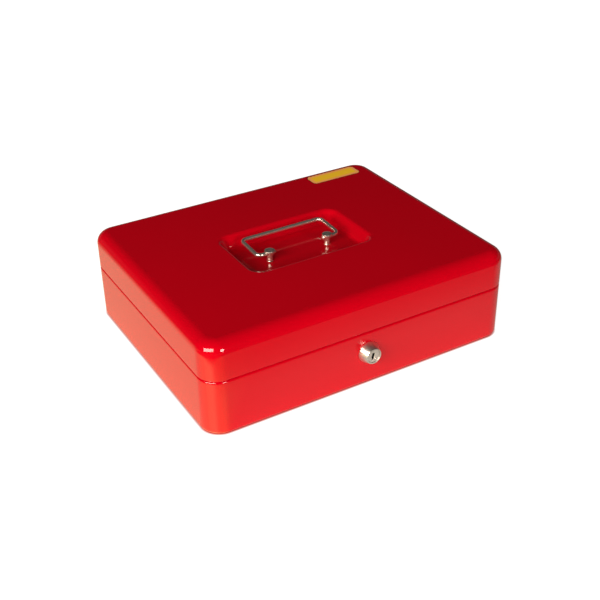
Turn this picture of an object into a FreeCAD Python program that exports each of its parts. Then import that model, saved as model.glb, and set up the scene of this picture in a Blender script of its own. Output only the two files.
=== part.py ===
import FreeCAD, Part
import math
import os
import re
import Sketcher

# Steel cash box: drawn base and lid, wire handle sunk in the lid, cam lock, coin tray.
# Lengths are millimetres. Origin: middle of the underside; +X right, -Y front, +Z up.

SIZES = (
    ("box_width", 300.0, "outside, left to right"),
    ("box_depth", 240.0, "outside, front to rear"),
    ("lid_top", 85.6, "height of the lid's flat top"),
    ("seam_height", 51.8, "lower edge of the lid"),
    ("seam_gap", 0.8, "open seam between lid and base"),
    ("corner_radius", 18.0, "corners in plan"),
    ("lid_edge", 11.0, "drawn radius round the lid's top"),
    ("base_edge", 3.0, "drawn radius round the underside"),
    ("shoulder_edge", 1.1, "outer bend of the base's step"),
    ("sheet", 0.8, "steel sheet of lid and base"),
    ("rim_clearance", 0.5, "between lid skirt and base rim"),
    ("rim_height", 9.0, "rim of the base above the seam"),
    ("pan_length", 123.5, "handle pan, sharp outline at the top"),
    ("pan_width", 75.5, "handle pan, sharp outline at the top"),
    ("pan_corner", 12.0, "handle pan, corner in plan"),
    ("pan_depth", 11.0, "handle pan, top to floor"),
    ("pan_taper", 31.0, "slope of the pan wall from upright, degrees"),
    ("pan_round", 4.0, "bends at the pan's upper and lower edge"),
    ("body_gap", 0.3, "between pieces that move apart"),
    ("run_gap", 0.05, "radial clearance of a turning fit"),
    ("post_offset", 30.0, "handle post from the middle"),
    ("post_setback", 6.4, "handle post in front of the middle"),
    ("post_shaft", 2.5, "radius of the post"),
    ("post_head", 4.7, "radius of the post's flared head"),
    ("post_height", 10.8, "post above the pan floor"),
    ("flare_start", 5.2, "where the flare begins above the pan floor"),
    ("head_band", 1.2, "upright band round the head"),
    ("tail_radius", 2.0, "riveted tail in the pan floor"),
    ("rivet_radius", 3.4, "upset end of the tail"),
    ("rivet_height", 1.0, "upset end of the tail"),
    ("washer_radius", 5.5, "washer under the pan"),
    ("washer", 0.8, "thickness of the washers"),
    ("wire_radius", 1.75, "handle wire"),
    ("wire_height", 8.1, "handle axis above the pan floor"),
    ("bail_half", 42.0, "handle arm from the middle"),
    ("bail_reach", 31.5, "handle bar from its axis"),
    ("bail_bend", 5.0, "bend in the handle wire"),
    ("bail_end", 24.5, "cut end of the wire from the middle"),
    ("bail_tilt", 3.1, "handle above level at rest, degrees"),
    ("hinge_inset", 60.0, "hinge's middle from the box's end"),
    ("hinge_length", 40.0, "leaf and barrel"),
    ("barrel_radius", 2.5, "hinge knuckle"),
    ("pin_radius", 1.25, "hinge pin"),
    ("leaf", 1.0, "hinge leaf"),
    ("base_leaf_drop", 20.0, "base leaf below the axis"),
    ("lid_leaf_rise", 14.0, "lid leaf above the axis"),
    ("lock_height", 31.5, "lock axis"),
    ("bezel_reach", 9.0, "lock head in front of the wall"),
    ("bezel_front", 7.3, "lock head, front radius"),
    ("bezel_base", 9.8, "lock head, radius at the wall"),
    ("bezel_land", 1.0, "upright edge at the back of the head"),
    ("barrel_thread", 8.0, "lock barrel radius"),
    ("barrel_flat", 6.6, "flats of the barrel from its axis"),
    ("barrel_reach", 17.0, "lock barrel behind the wall's outside"),
    ("plug_radius", 5.0, "turning plug"),
    ("plug_head", 5.9, "front head of the plug"),
    ("plug_seat", 3.0, "depth of the plug's seat"),
    ("plug_inset", 0.6, "plug face behind the rim"),
    ("key_width", 1.6, "key slot"),
    ("key_height", 5.6, "key slot"),
    ("key_depth", 16.0, "key slot"),
    ("wafer", 0.8, "thickness of a wafer"),
    ("wafer_width", 4.2, "width of a wafer"),
    ("wafer_pitch", 2.6, "wafer spacing"),
    ("wafer_count", 4, "wafers in the plug"),
    ("wafer_start", 3.0, "first wafer behind the plug's head"),
    ("wafer_wall", 0.6, "metal left beside a wafer's window"),
    ("tail_side", 6.0, "square tail of the plug"),
    ("cam", 2.0, "thickness of the cam"),
    ("cam_hub", 7.0, "cam round the tail"),
    ("cam_reach", 20.5, "hook's back from the lock axis"),
    ("cam_throat", 14.0, "hook's inside from the lock axis"),
    ("cam_arm", 3.0, "arm's edge beside the hook"),
    ("cam_hook", 13.0, "hook's tip beside the arm"),
    ("cam_round", 1.5, "corners of the hook"),
    ("screw_radius", 1.5, "cam screw"),
    ("screw_head", 3.8, "cam screw head"),
    ("screw_flange", 5.0, "washer face of the cam screw"),
    ("screw_rise", 2.4, "height of the cam screw's head"),
    ("screw_length", 5.0, "cam screw in the tail"),
    ("nut_flats", 20.0, "lock nut across flats"),
    ("nut", 3.5, "thickness of the lock nut"),
    ("lock_washer_radius", 12.0, "washer under the nut"),
    ("strike_sheet", 1.2, "strike and tray ledges"),
    ("strike_left", 5.8, "strike's edge from the middle"),
    ("strike_width", 14.2, "strike strip"),
    ("strike_flange", 10.5, "strike flange on the lid"),
    ("strike_lip", 4.6, "lip under the cam's hook"),
    ("ledge_width", 12.0, "tray ledge"),
    ("ledge_drop", 13.0, "upright leg of the ledge"),
    ("ledge_end_gap", 19.5, "ledge's end inside the tray's end"),
    ("ledge_top", 49.4, "height of the ledge's top"),
    ("tray_gap", 4.9, "tray flange inside the rim, left and right"),
    ("tray_rear_gap", 5.9, "tray flange inside the rim at the rear"),
    ("tray_lock_gap", 4.3, "tray flange behind the cam screw"),
    ("tray_corner", 14.0, "tray flange corner"),
    ("tray_flange", 2.4, "tray flange"),
    ("flange_width", 8.0, "tray flange round the tub"),
    ("tub_depth", 30.0, "tub under the flange"),
    ("tub_wall", 2.2, "walls of the tub"),
    ("tub_taper", 2.0, "draft of the tub, degrees"),
    ("cup_count", 5, "coin cups"),
    ("bay_count", 3, "note bays"),
    ("cup_length", 84.0, "coin cup, front to rear"),
    ("cup_scoop", 18.0, "scooped floor of a cup, front and rear"),
    ("bay_corner", 6.0, "upright corners of a bay"),
    ("grip_radius", 11.0, "finger notch in the tray's flange"),
)

doc = FreeCAD.newDocument("CashBox")
sizes = doc.addObject("Spreadsheet::Sheet", "sizes")
for row, (alias, value, note) in enumerate(SIZES, start=1):
    sizes.set(f"A{row}", note)
    sizes.set(f"B{row}", str(value))
    sizes.setAlias(f"B{row}", alias)
doc.recompute()
ALIASES = {alias for alias, value, note in SIZES}


def qualify(text):
    """The expression with every size name pointing at the sheet."""
    return re.sub(r"[a-z_]+", lambda m: f"sizes.{m[0]}" if m[0] in ALIASES else m[0], text)


def number(text):
    """The present value of an expression of sizes."""
    return float(sizes.evalExpression(qualify(text)))


def bind(thing, path, text):
    thing.setExpression(path, qualify(text))


# Derived heights and offsets, as expressions of the sizes above.
SHOULDER = "(seam_height - seam_gap)"
RIM_INSET = "(sheet + rim_clearance)"
RIM_TOP = "(seam_height + rim_height)"
PAN_FLOOR = "(lid_top - pan_depth)"
HINGE_STANDOFF = "(barrel_radius + body_gap)"
HINGE_Y = f"(box_depth / 2 + {HINGE_STANDOFF})"
HINGE_Z = "(seam_height - seam_gap / 2)"
KNUCKLE = "((hinge_length - 2 * body_gap) / 3)"
HINGE_X = "(box_width / 2 - hinge_inset)"
CAM_BACK = "(barrel_reach + body_gap)"
SEAT = f"({CAM_BACK} + cam)"
BORE = "(plug_radius + run_gap)"
RIM_INSIDE = f"({RIM_INSET} + sheet)"
TRAY_WIDTH = f"(box_width - 2 * ({RIM_INSIDE} + tray_gap))"
TRAY_FRONT = f"(box_depth / 2 - {SEAT} - screw_rise - tray_lock_gap)"
TRAY_REAR = f"(box_depth / 2 - {RIM_INSIDE} - tray_rear_gap)"
TRAY_DEPTH = f"({TRAY_FRONT} + {TRAY_REAR})"
TRAY_MIDDLE = f"(({TRAY_REAR} - {TRAY_FRONT}) / 2)"
TUB_WIDTH = f"({TRAY_WIDTH} - 2 * flange_width)"
TUB_LENGTH = f"({TRAY_DEPTH} - 2 * flange_width)"
LEDGE_LENGTH = f"({TRAY_DEPTH} - 2 * ledge_end_gap)"


def new_body(label, x="0", y="0", z="0"):
    body = doc.addObject("PartDesign::Body", label)
    body.Label = label
    for axis, text in zip("xyz", (x, y, z)):
        bind(body, f"Placement.Base.{axis}", text)
    return body


def new_sketch(body, name, role, offset="0"):
    """A sketch on one of the body's own planes, moved along that plane's normal."""
    sketch = body.newObject("Sketcher::SketchObject", name)
    plane = next(item for item in body.Origin.OriginFeatures if item.Role == role)
    sketch.AttachmentSupport = [(plane, "")]
    sketch.MapMode = "FlatFace"
    bind(sketch, "AttachmentOffset.Base.z", offset)
    return sketch


def fix(sketch, kind, geometry, point, text):
    """Ties one coordinate of a sketch point to an expression."""
    value = number(text)
    if abs(value) < 1e-9:
        axis = -2 if kind == "DistanceX" else -1
        sketch.addConstraint(Sketcher.Constraint("PointOnObject", geometry, point, axis))
        return
    index = sketch.addConstraint(Sketcher.Constraint(kind, -1, 1, geometry, point, value))
    bind(sketch, f"Constraints[{index}]", text)


def dimension(sketch, constraint, text):
    bind(sketch, f"Constraints[{sketch.addConstraint(constraint)}]", text)


def add_polygon(sketch, corners):
    """A closed outline with both coordinates of every corner tied to the sizes."""
    spots = [FreeCAD.Vector(number(u), number(v), 0) for u, v in corners]
    first = sketch.GeometryCount
    count = len(spots)
    for i in range(count):
        sketch.addGeometry(Part.LineSegment(spots[i], spots[(i + 1) % count]), False)
    for i in range(count):
        following = first + (i + 1) % count
        sketch.addConstraint(Sketcher.Constraint("Coincident", first + i, 2, following, 1))
    for i, (u, v) in enumerate(corners):
        fix(sketch, "DistanceX", first + i, 1, u)
        fix(sketch, "DistanceY", first + i, 1, v)


def add_box(sketch, u0, u1, v0, v1):
    add_polygon(sketch, [(u0, v0), (u1, v0), (u1, v1), (u0, v1)])


def add_circle(sketch, u, v, radius):
    centre = FreeCAD.Vector(number(u), number(v), 0)
    circle = Part.Circle(centre, FreeCAD.Vector(0, 0, 1), number(radius))
    index = sketch.addGeometry(circle, False)
    fix(sketch, "DistanceX", index, 3, u)
    fix(sketch, "DistanceY", index, 3, v)
    dimension(sketch, Sketcher.Constraint("Radius", index, number(radius)), radius)


def arc(centre_u, centre_v, radius, start):
    centre = FreeCAD.Vector(centre_u, centre_v, 0)
    circle = Part.Circle(centre, FreeCAD.Vector(0, 0, 1), radius)
    return Part.ArcOfCircle(circle, math.radians(start), math.radians(start + 90))


def line(u0, v0, u1, v1):
    return Part.LineSegment(FreeCAD.Vector(u0, v0, 0), FreeCAD.Vector(u1, v1, 0))


def add_rounded(sketch, width, depth, radius):
    """A rounded rectangle about the sketch's origin."""
    x = number(width) / 2
    y = number(depth) / 2
    r = number(radius)
    sketch.addGeometry([
        line(r - x, -y, x - r, -y), arc(x - r, r - y, r, -90),
        line(x, r - y, x, y - r), arc(x - r, y - r, r, 0),
        line(x - r, y, r - x, y), arc(r - x, y - r, r, 90),
        line(-x, y - r, -x, r - y), arc(r - x, r - y, r, 180)], False)
    for i in range(8):
        sketch.addConstraint(Sketcher.Constraint("Tangent", i, 2, (i + 1) % 8, 1))
    for i in (0, 4):
        sketch.addConstraint(Sketcher.Constraint("Horizontal", i))
        sketch.addConstraint(Sketcher.Constraint("Vertical", i + 2))
    for i in (3, 5, 7):
        sketch.addConstraint(Sketcher.Constraint("Equal", 1, i))
    sketch.addConstraint(Sketcher.Constraint("Symmetric", 1, 3, 5, 3, -1, 1))
    dimension(sketch, Sketcher.Constraint("DistanceX", 6, 1, 2, 1, 2 * x), width)
    dimension(sketch, Sketcher.Constraint("DistanceY", 0, 1, 4, 1, 2 * y), depth)
    dimension(sketch, Sketcher.Constraint("Radius", 1, r), radius)


def extrude(kind, sketch, name, length, back=False, taper=None):
    """A pad or pocket of a sketch; back turns it against its usual direction."""
    feature = sketch.getParentGeoFeatureGroup().newObject(f"PartDesign::{kind}", name)
    feature.Profile = sketch
    feature.Reversed = back
    bind(feature, "Length", length)
    if taper:
        bind(feature, "TaperAngle", taper)
    doc.recompute()
    return feature


def revolve(sketch, name):
    """A full turn of a sketch about its own upright axis."""
    feature = sketch.getParentGeoFeatureGroup().newObject("PartDesign::Revolution", name)
    feature.Profile = sketch
    feature.ReferenceAxis = (sketch, ["V_Axis"])
    feature.Angle = 360
    doc.recompute()
    return feature


def edges_where(shape, test):
    """Names of the edges whose ends and middle all pass the test."""
    names = []
    for i, edge in enumerate(shape.Edges, start=1):
        low, high = edge.FirstParameter, edge.LastParameter
        spots = [edge.valueAt(p) for p in (low, (low + high) / 2, high)]
        if all(test(spot) for spot in spots):
            names.append(f"Edge{i}")
    return names


def level(height):
    """A test for points at one height."""
    return lambda spot: abs(spot.z - height) < 1e-4


def upright(shape, low, high):
    """Names of the straight upright edges between two heights."""
    names = []
    for i, edge in enumerate(shape.Edges, start=1):
        ends = sorted(vertex.Z for vertex in edge.Vertexes)
        if len(ends) == 2 and abs(ends[0] - low) < 1e-3 and abs(ends[1] - high) < 1e-3:
            names.append(f"Edge{i}")
    return names


def fillet(base, name, names, radius):
    feature = base.getParentGeoFeatureGroup().newObject("PartDesign::Fillet", name)
    feature.Base = (base, names)
    bind(feature, "Radius", radius)
    doc.recompute()
    return feature


def hollow(base, name, height):
    """Leaves a sheet of the block, open at the flat face at one height."""
    faces = base.Shape.Faces
    names = [f"Face{i}" for i, face in enumerate(faces, start=1)
             if abs(face.BoundBox.ZMin - height) < 1e-4 and abs(face.BoundBox.ZMax - height) < 1e-4]
    feature = base.getParentGeoFeatureGroup().newObject("PartDesign::Thickness", name)
    feature.Base = (base, names)
    feature.Reversed = True
    bind(feature, "Value", "sheet")
    doc.recompute()
    return feature


def add_hinge_slots(sketch, half, low, high):
    for side in ("", "-"):
        middle = f"{side}{HINGE_X}"
        add_box(sketch, f"{middle} - ({half})", f"{middle} + ({half})", low, high)


# Base: drawn tub with a stepped rim that the lid's skirt slides over.
base = new_body("base_shell")
outline = new_sketch(base, "base_outline", "XY_Plane")
add_rounded(outline, "box_width", "box_depth", "corner_radius")
tub = extrude("Pad", outline, "base_block", SHOULDER)
outline = new_sketch(base, "rim_outline", "XY_Plane", SHOULDER)
add_rounded(outline, f"box_width - 2 * {RIM_INSET}", f"box_depth - 2 * {RIM_INSET}",
            f"corner_radius - {RIM_INSET}")
rim = extrude("Pad", outline, "rim_block", f"{RIM_TOP} - {SHOULDER}")
tub = fillet(rim, "underside_edge", edges_where(rim.Shape, level(0.0)), "base_edge")
step = number(SHOULDER)
inside = [number("box_width / 2 - sheet"), number("box_depth / 2 - sheet"), number("corner_radius")]


def on_step(spot):
    """True on the outer edge of the base's step."""
    reach = [max(abs(value) - limit + inside[2], 0.0) for value, limit in zip((spot.x, spot.y), inside)]
    return level(step)(spot) and math.hypot(*reach) > inside[2]


tub = fillet(tub, "shoulder_bend", edges_where(tub.Shape, on_step), "shoulder_edge")
tub = hollow(tub, "base_sheet", number(RIM_TOP))
hole = new_sketch(base, "lock_hole", "XZ_Plane", "box_depth / 2 - 5")
add_circle(hole, "0", "lock_height", "barrel_thread + run_gap")
extrude("Pocket", hole, "lock_opening", "10", back=True)
slots = new_sketch(base, "hinge_slots", "XZ_Plane", "5 - box_depth / 2")
add_hinge_slots(slots, "hinge_length / 2 + 2 * body_gap",
                f"{HINGE_Z} - barrel_radius - body_gap", f"{RIM_TOP} + 1")
extrude("Pocket", slots, "hinge_openings", "10")

# Lid: drawn cover with a soft upper edge and the sunk handle pan, one sheet throughout.
lid = new_body("lid_shell")
outline = new_sketch(lid, "lid_outline", "XY_Plane", "seam_height")
add_rounded(outline, "box_width", "box_depth", "corner_radius")
cover = extrude("Pad", outline, "lid_block", "lid_top - seam_height")
cover = fillet(cover, "lid_soft_edge", edges_where(cover.Shape, level(number("lid_top"))), "lid_edge")
outline = new_sketch(lid, "pan_outline", "XY_Plane", "lid_top")
add_rounded(outline, "pan_length", "pan_width", "pan_corner")
cover = extrude("Pocket", outline, "pan", "pan_depth", taper="-pan_taper")
pan_zone = (number("pan_length / 2") + 0.1, number("pan_width / 2") + 0.1)


def on_pan(spot):
    """True on the handle pan's upper and lower edge."""
    near = abs(spot.x) < pan_zone[0] and abs(spot.y) < pan_zone[1]
    return near and (level(number("lid_top"))(spot) or level(number(PAN_FLOOR))(spot))


cover = fillet(cover, "pan_bends", edges_where(cover.Shape, on_pan), "pan_round")
cover = hollow(cover, "lid_sheet", number("seam_height"))
holes = new_sketch(lid, "post_holes", "XY_Plane", f"{PAN_FLOOR} + 1")
for side in ("", "-"):
    add_circle(holes, f"{side}post_offset", "-post_setback", "tail_radius + run_gap")
extrude("Pocket", holes, "post_openings", "sheet + 2")
slots = new_sketch(lid, "lid_hinge_slots", "XZ_Plane", "5 - box_depth / 2")
add_hinge_slots(slots, f"{KNUCKLE} / 2 + 2 * body_gap", "seam_height - 1",
                f"{HINGE_Z} + barrel_radius + body_gap")
extrude("Pocket", slots, "lid_hinge_openings", "10")

# Hinges: leaves on the inside of the rear walls, knuckles outside, one pin each.
WALL = f"(-({HINGE_STANDOFF} + sheet))"


def knuckle(body, name, start, leaf_low, leaf_high):
    """One knuckle with the tongue that reaches its leaf, from one station along the axis."""
    tongue = new_sketch(body, f"{name}_tongue", "YZ_Plane", start)
    add_box(tongue, f"{WALL} - leaf", "0", leaf_low, leaf_high)
    extrude("Pad", tongue, f"{name}_tongue_pad", KNUCKLE)
    ring = new_sketch(body, f"{name}_ring", "YZ_Plane", start)
    add_circle(ring, "0", "0", "barrel_radius")
    extrude("Pad", ring, f"{name}_barrel", KNUCKLE)


def hinge_leaf(label, x, low, high, tongue, starts):
    body = new_body(label, x, HINGE_Y, HINGE_Z)
    plate = new_sketch(body, "leaf_outline", "YZ_Plane", "-hinge_length / 2")
    add_box(plate, f"{WALL} - leaf", WALL, low, high)
    extrude("Pad", plate, "leaf_plate", "hinge_length")
    for i, start in enumerate(starts):
        knuckle(body, f"knuckle{i}", start, *tongue)
    bore = new_sketch(body, "pin_bore", "YZ_Plane", "hinge_length")
    add_circle(bore, "0", "0", "pin_radius + run_gap")
    extrude("Pocket", bore, "pin_hole", "2 * hinge_length")


for label, x in (("left", f"-{HINGE_X}"), ("right", HINGE_X)):
    hinge_leaf(f"hinge_leaf_base_{label}", x, "-base_leaf_drop", "leaf - barrel_radius",
               ("-barrel_radius", "leaf - barrel_radius"),
               ("-hinge_length / 2", f"hinge_length / 2 - {KNUCKLE}"))
    hinge_leaf(f"hinge_leaf_lid_{label}", x, "barrel_radius - leaf", "lid_leaf_rise",
               ("barrel_radius - leaf", "barrel_radius"), (f"-{KNUCKLE} / 2",))
    pin = new_body(f"hinge_pin_{label}", x, HINGE_Y, HINGE_Z)
    wire = new_sketch(pin, "pin_outline", "YZ_Plane", "-hinge_length / 2 - body_gap")
    add_circle(wire, "0", "0", "pin_radius")
    extrude("Pad", wire, "pin_rod", "hinge_length + 2 * body_gap")

# Handle: two flared posts riveted through the pan floor, a washer under each, one bent wire.
for label, x in (("left", "-post_offset"), ("right", "post_offset")):
    post = new_body(f"handle_post_{label}", x, "-post_setback", PAN_FLOOR)
    half = new_sketch(post, "post_half", "XZ_Plane")
    tail = "(-(sheet + washer))"
    add_polygon(half, [
        ("0", f"{tail} - rivet_height"), ("rivet_radius", f"{tail} - rivet_height"),
        ("rivet_radius", tail), ("tail_radius", tail), ("tail_radius", "0"),
        ("post_shaft", "0"), ("post_shaft", "flare_start"),
        ("post_head", "post_height - head_band"), ("post_head", "post_height - 0.3"),
        ("post_head - 0.3", "post_height"), ("0", "post_height")])
    revolve(half, "post_turned")
    cross = new_sketch(post, "wire_hole", "YZ_Plane", "2 * post_head")
    add_circle(cross, "0", "wire_height", "wire_radius + 2 * run_gap")
    extrude("Pocket", cross, "wire_opening", "4 * post_head")
    disc = new_body(f"post_washer_{label}", x, "-post_setback", f"{PAN_FLOOR} - sheet - washer")
    ring = new_sketch(disc, "washer_outline", "XY_Plane")
    add_circle(ring, "0", "0", "washer_radius")
    add_circle(ring, "0", "0", "tail_radius + run_gap")
    extrude("Pad", ring, "washer_disc", "washer")

bail = new_body("handle_bail")
bail.Placement.Rotation = FreeCAD.Rotation(FreeCAD.Vector(1, 0, 0), number("bail_tilt"))
bind(bail, "Placement.Base.y", "-post_setback")
bind(bail, "Placement.Base.z", f"{PAN_FLOOR} + wire_height")
path = new_sketch(bail, "wire_path", "XY_Plane")
half, reach, bend, end = (number(f"bail_{word}") for word in ("half", "reach", "bend", "end"))
path.addGeometry([
    line(-end, 0, bend - half, 0), arc(bend - half, bend, bend, 180),
    line(-half, bend, -half, reach - bend), arc(bend - half, reach - bend, bend, 90),
    line(bend - half, reach, half - bend, reach), arc(half - bend, reach - bend, bend, 0),
    line(half, reach - bend, half, bend), arc(half - bend, bend, bend, -90),
    line(half - bend, 0, end, 0)], False)
for i, (before, after) in enumerate(((2, 2), (1, 1), (2, 2), (1, 1), (2, 2), (1, 1), (2, 2), (1, 1))):
    path.addConstraint(Sketcher.Constraint("Tangent", i, before, i + 1, after))
for i in (1, 2, 3):
    path.addConstraint(Sketcher.Constraint("Equal", 2 * i - 1, 2 * i + 1))
for i in (2, 6):
    path.addConstraint(Sketcher.Constraint("Vertical", i))
path.addConstraint(Sketcher.Constraint("Horizontal", 4))
dimension(path, Sketcher.Constraint("Radius", 1, bend), "bail_bend")
for item, point, across, along in ((0, 1, "-bail_end", "0"), (8, 2, "bail_end", "0")):
    fix(path, "DistanceX", item, point, across)
    fix(path, "DistanceY", item, point, along)
fix(path, "DistanceX", 2, 1, "-bail_half")
fix(path, "DistanceX", 6, 1, "bail_half")
fix(path, "DistanceY", 4, 1, "bail_reach")
section = new_sketch(bail, "wire_section", "YZ_Plane", "-bail_end")
add_circle(section, "0", "0", "wire_radius")
doc.recompute()
wire = bail.newObject("PartDesign::AdditivePipe", "bent_wire")
wire.Profile = section
wire.Spine = (path, [f"Edge{i}" for i in range(1, 10)])
doc.recompute()

# Lock: all pieces share a frame on the front wall, axis along Y.
LOCK_AT = ("0", "-box_depth / 2", "lock_height")
housing = new_body("lock_body", *LOCK_AT)
half = new_sketch(housing, "housing_half", "XY_Plane")
add_polygon(half, [
    (BORE, "barrel_reach"), (BORE, "plug_seat - bezel_reach"),
    ("plug_head + run_gap", "plug_seat - bezel_reach"), ("plug_head + run_gap", "-bezel_reach"),
    ("bezel_front - 0.5", "-bezel_reach"), ("bezel_front", "0.5 - bezel_reach"),
    ("bezel_base", "-bezel_land"), ("bezel_base", "0"),
    ("barrel_thread", "0"), ("barrel_thread", "barrel_reach")])
revolve(half, "housing_turned")
flats = new_sketch(housing, "barrel_flats", "XZ_Plane", "-barrel_reach")
for side in ("", "-"):
    add_box(flats, f"{side}barrel_flat", f"{side}(barrel_flat + 4)", "-2 * barrel_thread", "2 * barrel_thread")
extrude("Pocket", flats, "flats", "barrel_reach - sheet - washer - nut", back=True)

ring = new_body("lock_washer", *LOCK_AT)
half = new_sketch(ring, "washer_outline", "XZ_Plane", "-(sheet + washer)")
add_circle(half, "0", "0", "lock_washer_radius")
add_circle(half, "0", "0", "barrel_thread + run_gap")
extrude("Pad", half, "washer_disc", "washer")

nut = new_body("lock_nut", *LOCK_AT)
hexagon = new_sketch(nut, "nut_outline", "XZ_Plane", "-(sheet + washer + nut)")
add_polygon(hexagon, [(f"nut_flats / 2 * {math.cos(math.radians(60 * i)) / math.cos(math.radians(30)):.6f}",
                       f"nut_flats / 2 * {math.sin(math.radians(60 * i)) / math.cos(math.radians(30)):.6f}")
                      for i in range(6)])
add_circle(hexagon, "0", "0", "barrel_thread + run_gap")
extrude("Pad", hexagon, "nut_block", "nut")

plug = new_body("lock_plug", *LOCK_AT)
half = new_sketch(plug, "plug_half", "XY_Plane")
FACE = "(plug_inset - bezel_reach)"
add_polygon(half, [
    ("0", FACE), ("plug_head", FACE), ("plug_head", "plug_seat - bezel_reach - run_gap"),
    ("plug_radius", "plug_seat - bezel_reach - run_gap"), ("plug_radius", "barrel_reach"),
    ("0", "barrel_reach")])
revolve(half, "plug_turned")
tail = new_sketch(plug, "tail_outline", "XZ_Plane", f"-({CAM_BACK} + cam)")
add_box(tail, "-tail_side / 2", "tail_side / 2", "-tail_side / 2", "tail_side / 2")
extrude("Pad", tail, "square_tail", "cam + body_gap")
keyway = new_sketch(plug, "key_slot", "XZ_Plane", f"-({FACE} - 1)")
add_box(keyway, "-key_width / 2", "key_width / 2", "-key_height / 2", "key_height / 2")
extrude("Pocket", keyway, "key_opening", "key_depth + 1")
thread = new_sketch(plug, "screw_hole", "XZ_Plane", f"-({CAM_BACK} + cam + 1)")
add_circle(thread, "0", "0", "screw_radius + run_gap")
extrude("Pocket", thread, "screw_opening", "screw_length + 1.5", back=True)
FIRST = "(plug_seat - bezel_reach + wafer_start)"
windows = new_sketch(plug, "wafer_slots", "XY_Plane", "2 * plug_radius")
for i in range(int(number("wafer_count"))):
    add_box(windows, "-(wafer_width / 2 + run_gap)", "wafer_width / 2 + run_gap",
            f"{FIRST} + {i} * wafer_pitch - run_gap", f"{FIRST} + {i} * wafer_pitch + wafer + run_gap")
extrude("Pocket", windows, "wafer_openings", "4 * plug_radius")

wafers = new_body("lock_wafers", *LOCK_AT)
wafers.AllowCompound = True
for i in range(int(number("wafer_count"))):
    plate = new_sketch(wafers, f"wafer_outline{i}", "XZ_Plane", f"-({FIRST} + {i} * wafer_pitch + wafer)")
    add_box(plate, "-wafer_width / 2", "wafer_width / 2", "0.5 - plug_radius", "plug_radius - 0.5")
    add_box(plate, "wafer_wall - wafer_width / 2", "wafer_width / 2 - wafer_wall",
            "-key_height / 2", "key_height / 2")
    extrude("Pad", plate, f"wafer_plate{i}", "wafer")

hook = new_body("lock_cam", *LOCK_AT)
disc = new_sketch(hook, "hub_outline", "XZ_Plane", f"-({CAM_BACK} + cam)")
add_circle(disc, "0", "0", "cam_hub")
extrude("Pad", disc, "hub", "cam")
blade = new_sketch(hook, "hook_outline", "XZ_Plane", f"-({CAM_BACK} + cam)")
add_polygon(blade, [
    ("0", "-cam_hub"), ("0", "cam_arm"), ("-cam_throat", "cam_arm"), ("-cam_throat", "cam_hook"),
    ("-cam_reach", "cam_hook"), ("-cam_reach", "-cam_hub")])
arm = extrude("Pad", blade, "hook_blade", "cam")
eye = new_sketch(hook, "tail_hole", "XZ_Plane", f"-({CAM_BACK} + cam + 1)")
add_box(eye, "-tail_side / 2 - run_gap", "tail_side / 2 + run_gap",
        "-tail_side / 2 - run_gap", "tail_side / 2 + run_gap")
arm = extrude("Pocket", eye, "tail_opening", "cam + 2", back=True)
far = number("cam_throat") - 0.01
corners = [f"Edge{i}" for i, edge in enumerate(arm.Shape.Edges, start=1)
           if edge.BoundBox.XMax < -far and edge.BoundBox.YLength > number("cam") - 0.01
           and edge.BoundBox.ZLength < 0.01 and edge.BoundBox.XLength < 0.01]
fillet(arm, "hook_corners", corners, "cam_round")

screw = new_body("cam_screw", *LOCK_AT)
half = new_sketch(screw, "screw_half", "XY_Plane")
add_polygon(half, [
    ("0", f"{SEAT} - screw_length"), ("screw_radius", f"{SEAT} - screw_length"),
    ("screw_radius", SEAT), ("screw_flange", SEAT), ("screw_flange", f"{SEAT} + screw_rise / 4"),
    ("screw_head", f"{SEAT} + screw_rise / 4"), ("screw_head * 0.8", f"{SEAT} + screw_rise"),
    ("0", f"{SEAT} + screw_rise")])
revolve(half, "screw_turned")
cross = new_sketch(screw, "driver_cross", "XZ_Plane", f"-({SEAT} + 3)")
add_polygon(cross, [(u, v) for u, v in (
    ("-0.5", "-2"), ("0.5", "-2"), ("0.5", "-0.5"), ("2", "-0.5"), ("2", "0.5"), ("0.5", "0.5"),
    ("0.5", "2"), ("-0.5", "2"), ("-0.5", "0.5"), ("-2", "0.5"), ("-2", "-0.5"), ("-0.5", "-0.5"))])
extrude("Pocket", cross, "driver_recess", "1.8", back=True)

# Strike: bent strip on the lid's front skirt; the cam's hook swings over its lip.
strike = new_body("lid_strike")
WALL_Y = "(sheet - box_depth / 2)"
SHELF = f"({RIM_TOP} + 1.5)"
PLATE_Y = "(barrel_reach - box_depth / 2 - 2 * body_gap)"
LIP = "(lock_height + cam_throat - 0.5)"
strip = new_sketch(strike, "strip_outline", "YZ_Plane", "strike_left")
add_polygon(strip, [
    (WALL_Y, f"{SHELF} + strike_flange"), (WALL_Y, SHELF), (f"{PLATE_Y} - strike_sheet", SHELF),
    (f"{PLATE_Y} - strike_sheet", f"{LIP} - strike_sheet"),
    (f"{PLATE_Y} - strike_sheet + strike_lip", f"{LIP} - strike_sheet"),
    (f"{PLATE_Y} - strike_sheet + strike_lip", LIP), (PLATE_Y, LIP),
    (PLATE_Y, f"{SHELF} + strike_sheet"), (f"{WALL_Y} + strike_sheet", f"{SHELF} + strike_sheet"),
    (f"{WALL_Y} + strike_sheet", f"{SHELF} + strike_flange")])
extrude("Pad", strip, "bent_strip", "strike_width")

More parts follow.
